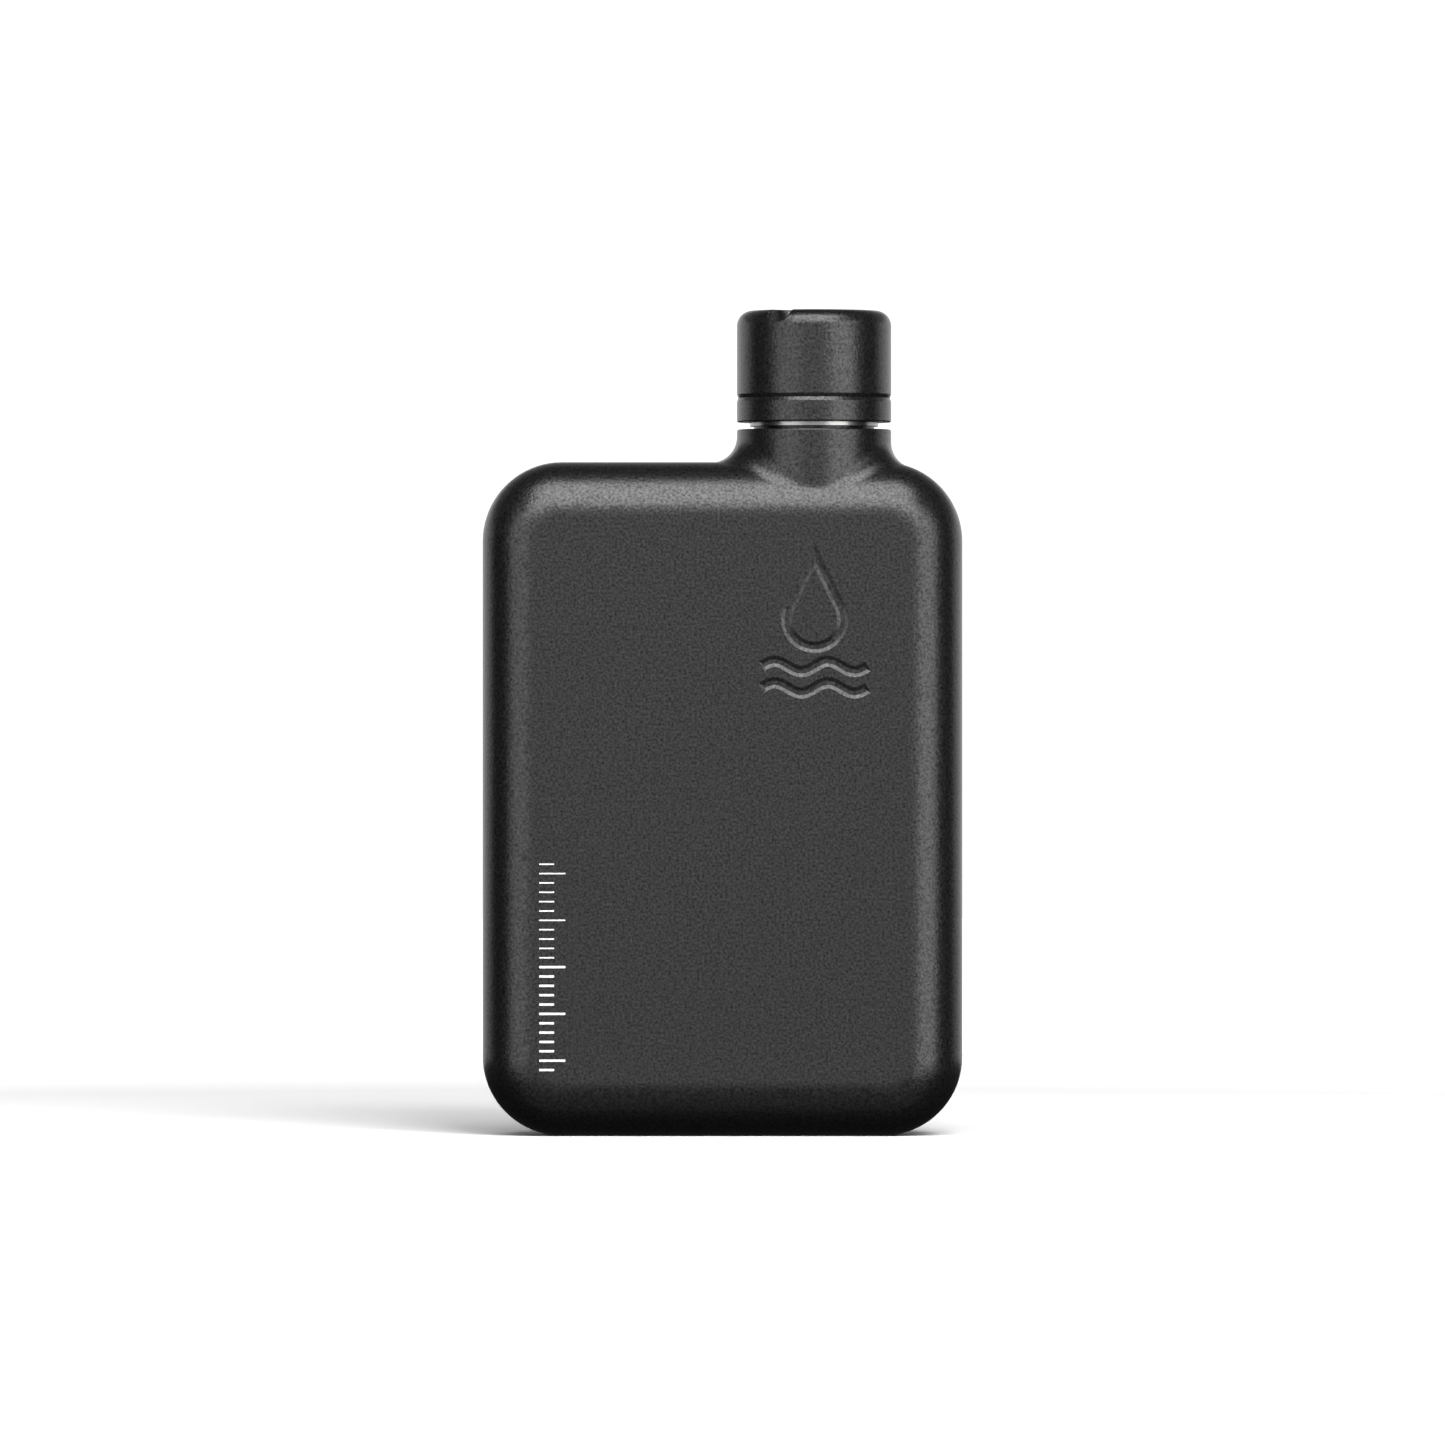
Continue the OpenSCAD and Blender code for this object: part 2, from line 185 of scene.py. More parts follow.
class Finish:
    """A Principled material that reads Object coordinates, and short calls for its nodes."""

    def __init__(self, name, tint, roughness, metallic=0.0):
        self.material = bpy.data.materials.new(name)
        self.material.use_nodes = True
        self.nodes = self.material.node_tree.nodes
        self.links = self.material.node_tree.links
        self.shader = self.nodes["Principled BSDF"]
        self.shader.inputs["Base Color"].default_value = (*tint, 1)
        self.shader.inputs["Roughness"].default_value = roughness
        self.shader.inputs["Metallic"].default_value = metallic
        self.place = self.nodes.new("ShaderNodeTexCoord").outputs["Object"]
        self.tint = tint

    def moved(self, offset, scale=(1, 1, 1)):
        """Coordinates with their zero at offset, and a unit of scale metres."""
        mapping = self.nodes.new("ShaderNodeMapping")
        mapping.vector_type = "TEXTURE"
        mapping.inputs["Location"].default_value = offset
        mapping.inputs["Scale"].default_value = scale
        self.links.new(self.place, mapping.inputs["Vector"])
        return mapping.outputs["Vector"]

    def noise(self, size, detail=2.0, place=None):
        """Noise whose features are about size metres across."""
        noise = self.nodes.new("ShaderNodeTexNoise")
        noise.inputs["Scale"].default_value = 1 / size
        noise.inputs["Detail"].default_value = detail
        self.links.new(place or self.place, noise.inputs["Vector"])
        return noise.outputs["Fac"]

    def waves(self, kind, axis, size, place=None):
        """Fine turned lines, 2 pi times size metres apart."""
        wave = self.nodes.new("ShaderNodeTexWave")
        wave.wave_type = kind
        if kind == "RINGS":
            wave.rings_direction = axis
        else:
            wave.bands_direction = axis
        wave.inputs["Scale"].default_value = 0.05 / size
        wave.inputs["Distortion"].default_value = 2.0
        wave.inputs["Detail"].default_value = 3.0
        wave.inputs["Detail Scale"].default_value = 2.5
        self.links.new(place or self.place, wave.inputs["Vector"])
        return wave.outputs["Fac"]

    def span(self, value, low, high, source=(0.3, 0.7)):
        """value brought from source to the range from low to high."""
        reach = self.nodes.new("ShaderNodeMapRange")
        reach.inputs["From Min"].default_value = source[0]
        reach.inputs["From Max"].default_value = source[1]
        reach.inputs["To Min"].default_value = low
        reach.inputs["To Max"].default_value = high
        self.links.new(value, reach.inputs["Value"])
        return reach.outputs["Result"]

    def mixed(self, value, dark, light):
        """The tint, from dark to light times itself as value goes from 0.3 to 0.7."""
        ramp = self.nodes.new("ShaderNodeValToRGB")
        ramp.color_ramp.elements[0].position = 0.3
        ramp.color_ramp.elements[0].color = (*[c * dark for c in self.tint], 1)
        ramp.color_ramp.elements[1].position = 0.7
        ramp.color_ramp.elements[1].color = (*[min(c * light, 1) for c in self.tint], 1)
        self.links.new(value, ramp.inputs["Fac"])
        self.links.new(ramp.outputs["Color"], self.shader.inputs["Base Color"])

    def rough(self, value, low, high):
        """Roughness from low to high."""
        self.links.new(self.span(value, low, high), self.shader.inputs["Roughness"])

    def bump(self, *layers):
        """Bumps of (height source, height in metres), one over another."""
        normal = None
        for source, height in layers:
            bump = self.nodes.new("ShaderNodeBump")
            bump.inputs["Strength"].default_value = 1.0
            bump.inputs["Distance"].default_value = height
            self.links.new(source, bump.inputs["Height"])
            if normal is not None:
                self.links.new(normal, bump.inputs["Normal"])
            normal = bump.outputs["Normal"]
        self.links.new(normal, self.shader.inputs["Normal"])


def once(name, make):
    """The material of that name, made the first time that it is asked for."""
    return bpy.data.materials.get(name) or make(name)


def powder_coat():
    """Fine-grained matt black powder coat."""

    def make(name):
        f = Finish(name, colours().paint, 0.3)
        grain = f.noise(0.55 * MM, 3.0)
        peel = f.noise(2.6 * MM, 1.0)
        f.mixed(grain, 0.6, 1.5)
        f.rough(grain, 0.27, 0.33)
        f.bump((peel, 0.010 * MM), (grain, 0.05 * MM))
        f.links.new(f.span(grain, 0.25, 0.75), f.shader.inputs["Specular IOR Level"])
        return f.material

    return once("powder_coat_finish", make)


def polished_steel():
    """Bare stainless steel, turned and polished, with fine rings round the neck's axis."""

    def make(name):
        f = Finish(name, colours().steel, 0.26, metallic=1.0)
        axis = f.moved((NECK_X, 0, 0))
        rings = f.waves("RINGS", "Z", 0.12 * MM, axis)
        turned = f.waves("BANDS", "Z", 0.11 * MM, axis)
        smudge = f.noise(3.0 * MM, 3.0)
        f.mixed(smudge, 0.9, 1.05)
        f.rough(smudge, 0.22, 0.3)
        f.bump((rings, 0.0006 * MM), (turned, 0.008 * MM))
        return f.material

    return once("polished_steel_finish", make)


def drawn_steel():
    """The dull inside of the pressed sheet."""

    def make(name):
        f = Finish(name, colours().steel, 0.35, metallic=1.0)
        streak = f.noise(1.2 * MM, 4.0, f.moved((0, 0, 0), (1, 1, 6)))
        f.mixed(streak, 0.75, 1.0)
        f.rough(streak, 0.3, 0.5)
        f.bump((streak, 0.006 * MM))
        return f.material

    return once("drawn_steel_finish", make)


def black_plastic():
    """Moulded polypropylene with a fine spark-eroded surface."""

    def make(name):
        f = Finish(name, colours().liner, 0.45)
        spark = f.noise(0.25 * MM, 2.0)
        flow = f.noise(4.0 * MM, 2.0)
        f.mixed(flow, 0.8, 1.25)
        f.rough(spark, 0.38, 0.55)
        f.bump((spark, 0.006 * MM))
        return f.material

    return once("black_plastic_finish", make)


def milky_silicone():
    """Translucent food silicone with a faint bloom."""

    def make(name):
        f = Finish(name, colours().silicone, 0.5)
        bloom = f.noise(1.5 * MM, 3.0)
        f.mixed(bloom, 0.92, 1.03)
        f.rough(bloom, 0.42, 0.6)
        f.bump((f.noise(0.3 * MM), 0.004 * MM))
        f.shader.inputs["Subsurface Weight"].default_value = 0.3
        f.shader.inputs["Subsurface Radius"].default_value = (0.002, 0.002, 0.0018)
        return f.material

    return once("milky_silicone_finish", make)


def silver_ink():
    """Silver screen print that lets the coat's grain through."""

    def make(name):
        f = Finish(name, colours().ink, 0.38, metallic=0.55)
        grain = f.noise(0.42 * MM, 3.0)
        f.mixed(grain, 0.85, 1.1)
        f.rough(grain, 0.32, 0.48)
        f.bump((grain, 0.012 * MM))
        return f.material

    return once("silver_ink_finish", make)


# ------------------------------------------------------------------------- modelling helpers


def body():
    return bpy.context.scene.flask_body


def emblem():
    return bpy.context.scene.flask_emblem


def neck():
    return bpy.context.scene.flask_neck


def cap():
    return bpy.context.scene.flask_cap


def colours():
    return bpy.context.scene.flask_colours


def edit(on=True):
    bpy.ops.object.mode_set(mode="EDIT" if on else "OBJECT")


def alone(obj):
    """Selects obj and nothing else."""
    if bpy.context.object and bpy.context.object.mode != "OBJECT":
        edit(False)
    bpy.ops.object.select_all(action="DESELECT")
    obj.select_set(True)
    bpy.context.view_layer.objects.active = obj


def pick(kind, test):
    """In edit mode, selects only the verts, edges or faces whose middle passes the test."""
    bpy.ops.mesh.select_all(action="DESELECT")
    bpy.ops.mesh.select_mode(type={"verts": "VERT", "edges": "EDGE", "faces": "FACE"}[kind])
    mesh = bmesh.from_edit_mesh(bpy.context.edit_object.data)
    for part in getattr(mesh, kind):
        if kind == "verts":
            middle = part.co
        elif kind == "edges":
            middle = (part.verts[0].co + part.verts[1].co) / 2
        else:
            middle = part.calc_center_median()
        if test(middle, part):
            part.select_set(True)
    mesh.select_flush_mode()
    bmesh.update_edit_mesh(bpy.context.edit_object.data)


def from_points(name, points, faces):
    """A new object of that mesh, the only one selected."""
    mesh = bpy.data.meshes.new(name)
    mesh.from_pydata(points, [], faces)
    mesh.update()
    obj = bpy.data.objects.new(name, mesh)
    bpy.context.scene.collection.objects.link(obj)
    alone(obj)
    return obj


def apply_modifier(obj, kind, **settings):
    """Adds a modifier, sets it and applies it."""
    alone(obj)
    modifier = obj.modifiers.new(kind.title(), kind)
    for key, value in settings.items():
        setattr(modifier, key, value)
    bpy.ops.object.modifier_apply(modifier=modifier.name)


def carve(obj, cutter, operation="DIFFERENCE"):
    """Cuts or joins another closed object into obj, and removes it."""
    apply_modifier(obj, "BOOLEAN", object=cutter, operation=operation, solver="EXACT")
    bpy.data.objects.remove(cutter, do_unlink=True)


def shade(obj, angle=32):
    """Smooth shading that keeps flat faces flat and edges sharper than angle crisp."""
    alone(obj)
    bpy.ops.object.shade_smooth_by_angle(angle=math.radians(angle))
    apply_modifier(obj, "WEIGHTED_NORMAL", mode="FACE_AREA", weight=50, keep_sharp=True)


def finish_piece(obj, rides, stands_for, slot, *materials):
    """Gives a piece its materials and its body, and hides the node that it stands for. The slot is not
    used.
    """
    for material in materials:
        obj.data.materials.append(material)
    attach(obj, rides)
    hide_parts(stands_for)


def arc(r, z, radius, first, last, steps=5):
    """An arc of (radius, height) points round (r, z), between angles in degrees up from outward."""
    turns = [math.radians(first + (last - first) * k / steps) for k in range(steps + 1)]
    return [(r + radius * math.cos(t), z + radius * math.sin(t)) for t in turns]


def rounded(corners, steps=6):
    """A profile of (radius, height) points, with each (radius, height, rounding) corner rounded.

    The profile is a closed loop."""
    out = []
    for i, (r, z, rounding) in enumerate(corners):
        here = Vector((r, z))
        before = Vector(corners[i - 1][:2]) - here
        after = Vector(corners[(i + 1) % len(corners)][:2]) - here
        if not rounding:
            out.append(here)
            continue
        half = before.angle(after) / 2
        tangent = rounding / math.tan(half)
        start = here + before.normalized() * tangent
        end = here + after.normalized() * tangent
        centre = here + (before.normalized() + after.normalized()).normalized() * (
            rounding / math.sin(half)
        )
        first, last = start - centre, end - centre
        sweep = first.angle(last)
        for k in range(steps + 1):
            t = k / steps
            a, b = math.sin((1 - t) * sweep), math.sin(t * sweep)
            out.append(centre + (first * a + last * b) / math.sin(sweep))
    return out


def turned(name, profile, steps, closed=True):
    """A solid of revolution round the neck's axis.

    A circle is added at the profile's first point and drawn on through the others by extruding
    and resizing. A closed profile is bridged back to its start, and an open one is filled at
    both ends."""
    axis = (NECK_X, 0, 0)
    radius, height = profile[0]
    bpy.ops.object.select_all(action="DESELECT")
    bpy.ops.mesh.primitive_circle_add(vertices=steps, radius=radius, location=(NECK_X, 0, height))
    obj = bpy.context.object
    obj.name = obj.data.name = name
    bpy.ops.object.transform_apply(location=True)
    edit()
    bpy.ops.mesh.select_mode(type="VERT")
    bpy.ops.mesh.select_all(action="SELECT")
    for r, z in profile[1:]:
        bpy.ops.mesh.extrude_region_move(TRANSFORM_OT_translate={"value": (0, 0, z - height)})
        share = r / radius
        bpy.ops.transform.resize(value=(share, share, 1), center_override=axis)
        radius, height = r, z
    pick("edges", lambda middle, edge: edge.is_boundary)
    if closed:
        bpy.ops.mesh.bridge_edge_loops()
    else:
        bpy.ops.mesh.fill_holes(sides=0)
    edit(False)
    face_outward(obj)
    return obj


def face_outward(obj):
    """Turns the faces of a closed solid outward."""
    alone(obj)
    edit()
    bpy.ops.mesh.select_all(action="SELECT")
    bpy.ops.mesh.normals_make_consistent(inside=False)
    edit(False)


def thread(name, root_r, inward, turns, z, start):
    """One rib of a right-hand thread as a closed solid: it fades in and out, as no operator
    gives, so its sections are worked out."""
    n = neck()
    steps = round(turns * 90)
    fade_steps = 14
    crest_steps = 5
    crest_drop = 0.18  # how far the crest falls to its two edges, as a share of its height
    crest_flare = 0.15  # how much wider its edges stand
    sink = 0.3 * MM  # root of the rib in its wall
    bury = 0.02 * MM  # tips of the rib under its wall
    side = -1 if inward else 1
    points, faces = [], []
    for i in range(steps + 1):
        a = start + turns * 2 * math.pi * i / steps
        middle = z + n.lead * turns * i / steps
        grow = min(1, i / fade_steps, (steps - i) / fade_steps)
        height = n.thread_h * math.sin(grow * math.pi / 2) - bury * (1 - grow)
        section = [(-sink, -n.root_w / 2)]
        for k in range(crest_steps + 1):
            t = k / crest_steps * 2 - 1
            bulge = 1 - crest_drop * abs(t) ** 3
            section.append((height * bulge, t * n.crest_w / 2 * (1 + crest_flare * abs(t))))
        section.append((-sink, n.root_w / 2))
        for reach, up in section:
            r = root_r + side * reach
            points.append((NECK_X + r * math.cos(a), r * math.sin(a), middle + up))
    ring = len(section)
    for i in range(steps):
        for k in range(ring):
            q = (k + 1) % ring
            faces.append((ring * i + k, ring * (i + 1) + k, ring * (i + 1) + q, ring * i + q))
    faces.append(tuple(range(ring)))
    faces.append(tuple(ring * steps + k for k in reversed(range(ring))))
    rib = from_points(name, points, faces)
    face_outward(rib)
    return rib


# ------------------------------------------------------------------------- pressed shells


class PressedHalf:
    """The skin of half the body, at +Y of the seam.

    The body is a flat core rounded by the edge radius, and a ball rolled between it and the
    round collar gives the hollow blend. No bevel gives that blend, so its points are worked out.
    Azimuths go round the neck, from one end of the seam to the other. A column is the foot of a
    profile on the core, its tilt from upright, and the distance from the seam where it starts.
    off is how far a skin lies inside the painted face."""

    def __init__(self):
        b = body()
        self.b = b
        self.core = SHELL_HIGH[1] - b.edge_r
        self.corner_x = SHELL_HIGH[0] - b.corner_r
        self.corner_z = b.shoulder - b.corner_r
        self.inset = b.corner_r - b.edge_r
        self.end = self.core + b.edge_r * math.pi / 2
        self.azimuths = [
            math.pi * (i / b.neck_columns - 0.5) for i in range(b.neck_columns + 1)
        ]
        self.columns = [self.neck_column(a) for a in self.azimuths]
        tilt = self.columns[-1][2]
        steps = b.corner_columns
        quarter = math.pi / 2
        for i in range(1, steps + 1):
            self.columns.append(self.corner_column(1, 1, tilt + (quarter - tilt) * i / steps))
        for turn, (sx, sz) in enumerate([(1, -1), (-1, -1), (-1, 1)], start=1):
            for i in range(steps + 1):
                self.columns.append(self.corner_column(sx, sz, quarter * (turn + i / steps)))

    def corner_column(self, sx, sz, tilt):
        return sx * self.corner_x, self.corner_z if sz > 0 else self.b.corner_r, tilt, 0.0

    def ball(self, a):
        """Centre of the ball at azimuth a, and how it leans and tilts where it meets the body."""
        b = self.b
        reach = COLLAR_R + b.blend_r
        x, y = NECK_X + reach * math.sin(a), reach * math.cos(a)
        both = b.edge_r + b.blend_r
        past = max(y - self.core, 0)
        far = math.sqrt(both**2 - past**2) + self.inset
        foot_x = min(max(x, -self.corner_x), self.corner_x)
        z = self.corner_z + math.sqrt(far**2 - (x - foot_x) ** 2)
        lean = math.asin(past / both)
        tilt = math.asin((x - foot_x) / far)
        return Vector((x, y, z)), lean, tilt, foot_x

    def neck_column(self, a):
        centre, lean, tilt, foot_x = self.ball(a)
        start = self.core + self.b.edge_r * lean if lean > 0 else centre.y
        return foot_x, self.corner_z, tilt, max(start, 0.0)

    def body_point(self, column, s, off):
        """The point at distance s along the profile of a column, and past its end on the face."""
        x, z, tilt, _ = column
        turn = max(min(s, self.end) - self.core, 0) / self.b.edge_r
        round_r = self.b.edge_r - off
        reach = self.inset + round_r * math.cos(turn) - max(s - self.end, 0)
        y = min(s, self.core) + round_r * math.sin(turn)
        return x + reach * math.sin(tilt), y, z + reach * math.cos(tilt)

    def blend_point(self, a, t, off):
        centre, lean, tilt, _ = self.ball(a)
        first = Vector((-math.sin(a), -math.cos(a), 0))
        last = Vector((
            -math.cos(lean) * math.sin(tilt),
            -math.sin(lean),
            -math.cos(lean) * math.cos(tilt),
        ))
        sweep = first.angle(last)
        way = (first * math.sin((1 - t) * sweep) + last * math.sin(t * sweep)) / math.sin(sweep)
        return tuple(centre + way * (self.b.blend_r + off))

    def ledge(self, off):
        """The collar's flat top, from the opening to below its rounded edge, as (radius, z)."""
        inner = 0.15 * MM
        least = 0.04 * MM
        outer = max(self.b.ledge_round - off, least)
        top = COLLAR_Z - off
        opening = neck().ring_r - neck().ring_step + WELD_FIT
        rows = arc(opening + inner, top - inner, inner, 180, 90)
        return rows + arc(COLLAR_R - off - outer, top - outer, outer, 90, 0)

    def skin(self, off):
        """Points of a skin, first the body's columns and then the neck's."""
        b = self.b
        flat_part = self.inset * 0.3
        points = []
        for column in self.columns:
            start = column[3]
            for j in range(b.edge_rows + 1):
                s = start + (self.end - start) * j / b.edge_rows
                points.append(self.body_point(column, s, off))
            points.append(self.body_point(column, self.end + flat_part, off))
        for a in self.azimuths:
            for r, z in self.ledge(off):
                points.append((NECK_X + r * math.sin(a), r * math.cos(a), z))
            for j in range(b.blend_rows):
                points.append(self.blend_point(a, j / b.blend_rows, off))
        return points

    def build(self, name, mirrored):
        """A closed sheet-metal half. Material 0 is its painted outside and 1 its bare inside."""
        b = self.b
        rows = b.edge_rows + 2
        count = len(self.columns)
        neck_rows = len(self.ledge(0)) + b.blend_rows
        neck_start = count * rows

        def on_body(k, j):
            return (k % count) * rows + j

        def on_neck(k, i):
            return neck_start + k * neck_rows + i if i < neck_rows else on_body(k, 0)

        faces = [
            (on_body(k, j), on_body(k, j + 1), on_body(k + 1, j + 1), on_body(k + 1, j))
            for k in range(count)
            for j in range(rows - 1)
        ]
        faces += [
            (on_neck(k, i), on_neck(k, i + 1), on_neck(k + 1, i + 1), on_neck(k + 1, i))
            for k in range(b.neck_columns)
            for i in range(neck_rows)
        ]
        faces.append(tuple(on_body(k, rows - 1) for k in reversed(range(count))))
        outside, inside = self.skin(0), self.skin(b.wall)
        size = len(outside)
        rim = [on_neck(k, 0) for k in range(b.neck_columns + 1)]
        rim += [on_neck(b.neck_columns, i) for i in range(1, neck_rows + 1)]
        rim += [on_body(k, 0) for k in range(b.neck_columns + 1, count)]
        rim += [on_neck(0, i) for i in range(neck_rows, 0, -1)]
        around = [(p, q, q + size, p + size) for p, q in zip(rim, rim[1:] + rim[:1])]
        inner = [tuple(i + size for i in reversed(f)) for f in faces]
        everything = faces + around + inner
        points = outside + inside
        if mirrored:
            points = [(x, -y, z) for x, y, z in points]
        else:
            everything = [tuple(reversed(f)) for f in everything]
        obj = from_points(name, points, everything)
        for k, polygon in enumerate(obj.data.polygons):
            polygon.material_index = 0 if k < len(faces) + len(around) else 1
        return obj


def drop_line(radius, tip, steps=72):
    """The outline of a circle drawn out to a point tip above its middle."""
    touch = math.acos(radius / tip)
    line = [(0.0, tip)]
    for i in range(steps + 1):
        a = touch + (2 * math.pi - 2 * touch) * i / steps
        line.append((-radius * math.sin(a), radius * math.cos(a)))
    return line


def wave_line(reach, grow, steps=72, cycles=2):
    """One long edge of a wave's stroke, at reach from its middle line, its ends drawn out by grow."""
    e = emblem()
    line = []
    for i in range(steps + 1):
        turn = 2 * math.pi * cycles * i / steps
        slope = e.wave_h * 2 * math.pi * cycles / e.width * math.cos(turn)
        up = reach / math.hypot(1, slope)
        line.append([e.width * (i / steps - 0.5) - slope * up, e.wave_h * math.sin(turn) + up])
    line[0][0] -= grow
    line[-1][0] += grow
    return line


# ------------------------------------------------------------------------- operators


class FLASK_OT_shells(Operator):
    """Builds the two pressed halves of the body, the front one with its emblem"""

    bl_idname = "flask.shells"
    bl_label = "Pressed shells"

    def execute(self, context):
        for name, node, mirrored in (
            ("front_half", "front_shell", True),
            ("back_half", "back_shell", False),
        ):
            half = PressedHalf().build(name, mirrored)
            if mirrored:
                press_emblem(half)
            finish_piece(half, "flask", node, "powder_coat", powder_coat(), drawn_steel())
            shade(half)
        return {"FINISHED"}


def press_emblem(half):
    """Sinks the emblem in the front face and softens its edges."""
    e = emblem()
    apply_modifier(half, "TRIANGULATE", min_vertices=5)
    carve(half, draft_cutter())
    alone(half)
    edit()
    face, floor = FRONT_Y, FRONT_Y + e.depth
    close = 0.01 * MM
    least, most = 0.2, 1.4  # angles in radians between the faces at the stroke's edges

    def on_emblem(middle, edge):
        level = min(abs(middle.y - face), abs(middle.y - floor))
        if level > close or len(edge.link_faces) != 2:
            return False
        return least < edge.calc_face_angle(0) < most and abs(middle.x - NECK_X) < e.width

    pick("edges", on_emblem)
    bpy.ops.mesh.bevel(
        offset=e.soft, offset_type="OFFSET", segments=3, profile=0.5, clamp_overlap=True
    )
    edit(False)


def draft_cutter():
    """The emblem's strokes as closed solids whose walls slope in from the face to the floor."""
    e = emblem()
    proud = 0.1 * MM  # cutters in front of the face
    flare = e.slope * proud / e.depth
    solids = []

    def solid(name, lines, closed, drop_z):
        """lines are, from the front to the floor, the two edges of the stroke at each level."""
        n = len(lines[0][1])
        points, faces = [], []
        for y, one, other in lines:
            for x, z in one + other:
                points.append((NECK_X + x, y, drop_z + z))
        levels = len(lines)
        last = n if closed else n - 1
        for i in range(last):
            j = (i + 1) % n
            faces.append((i, j, n + j, n + i))
            top = 2 * n * (levels - 1)
            faces.append((top + n + i, top + n + j, top + j, top + i))
            for level in range(levels - 1):
                a, b = 2 * n * level, 2 * n * (level + 1)
                faces.append((a + j, a + i, b + i, b + j))
                faces.append((a + n + i, a + n + j, b + n + j, b + n + i))
        if not closed:
            for level in range(levels - 1):
                a, b = 2 * n * level, 2 * n * (level + 1)
                faces.append((a, a + n, b + n, b))
                faces.append((a + 2 * n - 1, a + n - 1, b + n - 1, b + 2 * n - 1))
        made = from_points(name, points, faces)
        face_outward(made)
        solids.append(made)

    middle_z = body().shoulder - e.below
    levels = ((FRONT_Y - proud, flare), (FRONT_Y + e.depth, -e.slope))

    def drop_level(y, grow):
        tip = e.drop_tip / e.drop_r
        inner = e.drop_r - e.stroke
        return (
            y,
            drop_line(e.drop_r + grow, tip * (e.drop_r + grow)),
            drop_line(inner - grow, tip * (inner - grow)),
        )

    solid("drop_cutter", [drop_level(y, g) for y, g in levels], True, middle_z)

    def wave_level(y, grow):
        reach = e.stroke / 2 + grow
        return y, wave_line(reach, grow), wave_line(-reach, grow)

    for row in (0.5, 1.5):
        low = middle_z - e.drop_r - e.wave_gap - row * e.wave_step
        solid("wave_cutter", [wave_level(y, g) for y, g in levels], False, low)
    alone(solids[0])
    for other in solids[1:]:
        other.select_set(True)
    bpy.ops.object.join()
    return bpy.context.object


class FLASK_OT_spout(Operator):
    """Builds the bare steel spout with its flange, lip and two-start thread"""

    bl_idname = "flask.spout"
    bl_label = "Spout"

    def execute(self, context):
        n = neck()
        foot, lip = SPOUT_LOW[2], SPOUT_HIGH[2]
        tube_r = n.ring_r - n.ring_step
        flange_r = (SPOUT_HIGH[0] - SPOUT_LOW[0]) / 2
        under = COLLAR_Z - body().wall
        ring_z = COLLAR_Z + n.ring_gap
        shoulder = BAND_LOW[2] + n.ring_lift
        profile = rounded([
            (BORE_R, foot, 0.3 * MM),
            (tube_r, foot, 0.3 * MM),
            (tube_r, under - n.flange_t, 0),
            (flange_r, under - n.flange_t, 0.1 * MM),
            (flange_r, under, 0.1 * MM),
            (tube_r, under, 0),
            (tube_r, ring_z, 0.05 * MM),
            (n.ring_r, ring_z, 0.08 * MM),
            (n.ring_r, shoulder, 0.25 * MM),
            (n.root_r, shoulder + n.ring_r - n.root_r, 0.25 * MM),
            (n.root_r, lip, 0.45 * MM),
            (BORE_R, lip, 0.6 * MM),
        ])
        spout = turned("spout", profile, 256)
        z = lip - n.below_lip - n.lead * n.spout_turns
        for start in (0, math.pi):
            rib = thread("spout_thread", n.root_r, False, n.spout_turns, z, start)
            carve(spout, rib, "UNION")
        # The second finish, the powder coat, is painted shade in the gap under the bare ring.
        finish_piece(spout, "flask", "neck_spout", "polished_steel", polished_steel(), powder_coat())
        slack = 0.02 * MM

        def in_painted_gap_shade(middle, face):
            """True between the collar and the bare ring, where the black powder coat is painted shade
            for the dark gap.
            """
            outside = math.hypot(middle.x - NECK_X, middle.y) > tube_r - slack
            return outside and under + slack < middle.z < ring_z + slack

        # The faces in the gap under the bare ring get the powder coat: painted shade that darkens the
        # recess.
        edit()
        pick("faces", in_painted_gap_shade)
        spout.active_material_index = 1
        bpy.ops.object.material_slot_assign()
        edit(False)
        shade(spout)
        return {"FINISHED"}


class FLASK_OT_cap_shell(Operator):
    """Builds the cap's painted metal shell, with its thumb notch"""

    bl_idname = "flask.cap_shell"
    bl_label = "Cap shell"

    def execute(self, context):
        c = cap()
        foot, top = CAP_LOW[2], CAP_HIGH[2]
        inner = COLLAR_R - c.wall
        ceiling = LINER_HIGH[2]
        rim = COLLAR_R - c.edge_r
        start_r = rim - 6 * MM
        flat_steps, edge_steps = 20, 24
        flat = [(start_r + (rim - start_r) * i / flat_steps, top) for i in range(flat_steps)]
        edge = arc(rim, top - c.edge_r, c.edge_r, 90, 0, edge_steps)
        below = rounded([
            (COLLAR_R, foot + c.groove_h, 0.15 * MM),
            (COLLAR_R - c.groove_d, foot, 0.04 * MM),
            (inner, foot, 0.2 * MM),
            (inner, ceiling, 0.5 * MM),
            (start_r, ceiling, 0),
            (COLLAR_R, ceiling, 0),
        ])
        profile = flat + edge + below[:-1]
        shell = turned("cap_cover", profile, 480, closed=False)
        cut_notch(shell)
        finish_piece(shell, "cap", "cap_shell", "powder_coat", powder_coat())
        shade(shell)
        return {"FINISHED"}


